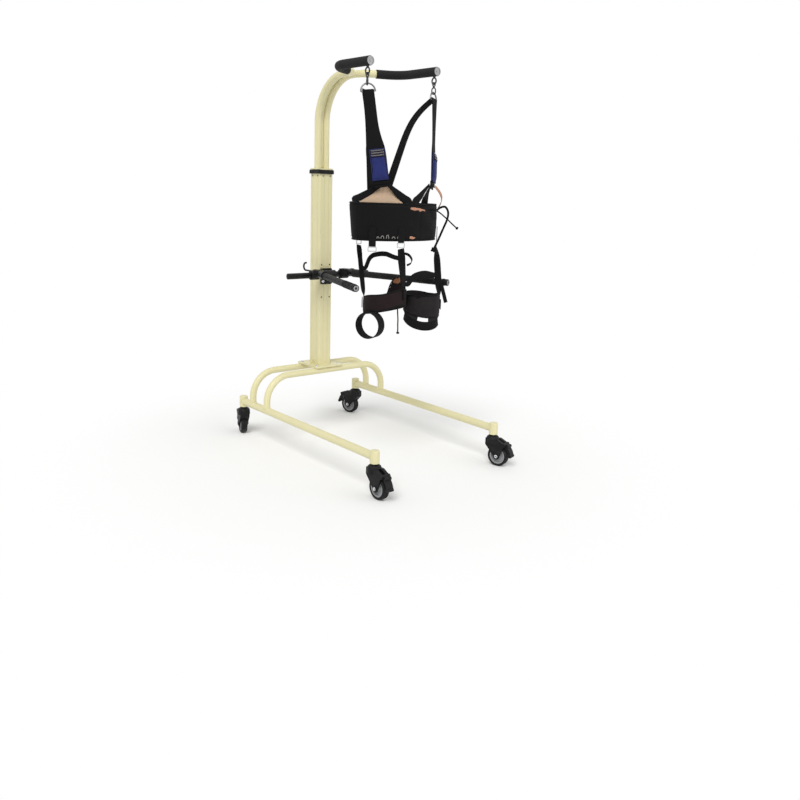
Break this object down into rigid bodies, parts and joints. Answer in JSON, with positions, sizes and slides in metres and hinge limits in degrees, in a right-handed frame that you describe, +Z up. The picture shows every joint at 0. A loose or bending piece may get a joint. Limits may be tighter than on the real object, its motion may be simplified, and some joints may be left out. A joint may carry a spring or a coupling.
{
  "type": "body weight support walking frame",
  "caption": "Wheeled frame with a telescopic lift column, a forked overhead mast with padded horns, folding handles and a hanging walking harness.",
  "frame": {"origin": "on the floor under the middle of the base, halfway between the caster sockets", "axes": "+X across the frame, +Y forward between the legs, +Z up the column"},
  "size_m": [0.8283, 1.3414, 1.8452],
  "materials": {
    "cream_paint": "satin cream powder coat",
    "black_metal": "satin black paint",
    "bright_steel": "bright plated",
    "black_plastic": "matte moulded",
    "foam": "closed-cell foam",
    "grip_rubber": "matte rubber",
    "tyre_rubber": "matte rubber",
    "rim_plastic": "grey moulded",
    "black_webbing": "woven webbing",
    "belt_fabric": "padded woven cloth",
    "cuff_fabric": "padded woven cloth",
    "blue_fabric": "padded woven cloth",
    "tan_fabric": "soft lining cloth"
  },
  "bodies": {
    "frame": {"near_leg": "cream_paint", "far_leg": "cream_paint", "rear_arch": "cream_paint", "front_arch": "cream_paint", "foot_plate": "cream_paint", "frame_bolts": "bright_steel", "column_profile": "cream_paint", "top_collar": "black_plastic", "collar_screws": "bright_steel", "lift_motor": "black_metal", "handle_bracket": "black_metal", "cross_bar": "black_metal", "cross_bar_plugs": "black_plastic", "near_handle_hub": "black_metal", "far_handle_hub": "black_metal"},
    "carriage": {"inner_profile": "cream_paint", "head_plate": "cream_paint", "near_mast": "cream_paint", "far_mast": "cream_paint", "horn_foam": "foam", "horn_caps": "bright_steel", "eye_bolts": "bright_steel", "push_rod": "bright_steel"},
    "harness": {"snap_hooks": "bright_steel", "d_rings": "bright_steel", "suspender_straps": "black_webbing", "shoulder_pads": "blue_fabric", "side_yokes": "black_webbing", "yoke_linings": "tan_fabric", "body_belt": "belt_fabric", "strap_rings": "bright_steel", "leg_straps": "black_webbing", "near_cuff": "cuff_fabric", "far_cuff": "cuff_fabric", "leg_loops": "black_webbing", "belt_lace": "black_webbing", "belt_tie": "black_webbing", "cuff_tie": "black_webbing"},
    "near_handle": {"near_handle_bar": "black_metal", "near_handle_grip": "grip_rubber"},
    "far_handle": {"far_handle_bar": "black_metal", "far_handle_grip": "grip_rubber"},
    "near_knob": {"near_handle_knob": "black_plastic"},
    "far_knob": {"far_handle_knob": "black_plastic"},
    "near_front_caster": {"near_front_fork": "black_plastic"},
    "near_front_wheel": {"near_front_tyre": "tyre_rubber", "near_front_rim": "rim_plastic"},
    "near_front_brake": {"near_front_pedal": "black_plastic"},
    "far_front_caster": {"far_front_fork": "black_plastic"},
    "far_front_wheel": {"far_front_tyre": "tyre_rubber", "far_front_rim": "rim_plastic"},
    "far_front_brake": {"far_front_pedal": "black_plastic"},
    "near_rear_caster": {"near_rear_fork": "black_plastic"},
    "near_rear_wheel": {"near_rear_tyre": "tyre_rubber", "near_rear_rim": "rim_plastic"},
    "near_rear_brake": {"near_rear_pedal": "black_plastic"},
    "far_rear_caster": {"far_rear_fork": "black_plastic"},
    "far_rear_wheel": {"far_rear_tyre": "tyre_rubber", "far_rear_rim": "rim_plastic"},
    "far_rear_brake": {"far_rear_pedal": "black_plastic"}
  },
  "joints": [
    {"name": "mast_lift", "type": "slide", "parent": "frame", "child": "carriage", "axis": [0, 0, 1], "range_m": [0, 0.4]},
    {"name": "harness_swing", "type": "hinge", "parent": "carriage", "child": "harness", "pos_m": [0, 0.21448, 1.77865], "axis": [1, 0, 0], "range_deg": [-2, 20]},
    {"name": "near_handle_fold", "type": "hinge", "parent": "frame", "child": "near_handle", "pos_m": [0.092, -0.268, 0.873], "axis": [0.9426, -0.3338, 0], "range_deg": [-80, 0]},
    {"name": "far_handle_fold", "type": "hinge", "parent": "frame", "child": "far_handle", "pos_m": [-0.092, -0.268, 0.873], "axis": [0.9537, 0.3007, 0], "range_deg": [-80, 0]},
    {"name": "near_knob_turn", "type": "hinge", "parent": "frame", "child": "near_knob", "pos_m": [0.092, -0.268, 0.873], "axis": [0.9426, -0.3338, 0], "continuous": true},
    {"name": "far_knob_turn", "type": "hinge", "parent": "frame", "child": "far_knob", "pos_m": [-0.092, -0.268, 0.873], "axis": [0.9537, 0.3007, 0], "continuous": true},
    {"name": "near_front_swivel", "type": "hinge", "parent": "frame", "child": "near_front_caster", "pos_m": [0.375, 0.556, 0.155], "axis": [0, 0, 1], "continuous": true},
    {"name": "near_front_roll", "type": "hinge", "parent": "near_front_caster", "child": "near_front_wheel", "pos_m": [0.375, 0.592, 0.052], "axis": [-1, 0, 0], "continuous": true},
    {"name": "near_front_pedal", "type": "hinge", "parent": "near_front_caster", "child": "near_front_brake", "pos_m": [0.375, 0.628, 0.114], "axis": [-1, 0, 0], "range_deg": [0, 7]},
    {"name": "far_front_swivel", "type": "hinge", "parent": "frame", "child": "far_front_caster", "pos_m": [-0.375, 0.556, 0.155], "axis": [0, 0, 1], "continuous": true},
    {"name": "far_front_roll", "type": "hinge", "parent": "far_front_caster", "child": "far_front_wheel", "pos_m": [-0.38432, 0.59077, 0.052], "axis": [-0.9659, -0.2588, 0], "continuous": true},
    {"name": "far_front_pedal", "type": "hinge", "parent": "far_front_caster", "child": "far_front_brake", "pos_m": [-0.39364, 0.62555, 0.114], "axis": [-0.9659, -0.2588, 0], "range_deg": [0, 7]},
    {"name": "near_rear_swivel", "type": "hinge", "parent": "frame", "child": "near_rear_caster", "pos_m": [0.375, -0.556, 0.155], "axis": [0, 0, 1], "continuous": true},
    {"name": "near_rear_roll", "type": "hinge", "parent": "near_rear_caster", "child": "near_rear_wheel", "pos_m": [0.36328, -0.59004, 0.052], "axis": [0.9455, -0.3256, 0], "continuous": true},
    {"name": "near_rear_pedal", "type": "hinge", "parent": "near_rear_caster", "child": "near_rear_brake", "pos_m": [0.35156, -0.62408, 0.114], "axis": [0.9455, -0.3256, 0], "range_deg": [0, 7]},
    {"name": "far_rear_swivel", "type": "hinge", "parent": "frame", "child": "far_rear_caster", "pos_m": [-0.375, -0.556, 0.155], "axis": [0, 0, 1], "continuous": true},
    {"name": "far_rear_roll", "type": "hinge", "parent": "far_rear_caster", "child": "far_rear_wheel", "pos_m": [-0.36508, -0.59061, 0.052], "axis": [0.9613, 0.2756, 0], "continuous": true},
    {"name": "far_rear_pedal", "type": "hinge", "parent": "far_rear_caster", "child": "far_rear_brake", "pos_m": [-0.35515, -0.62521, 0.114], "axis": [0.9613, 0.2756, 0], "range_deg": [0, 7]}
  ]
}
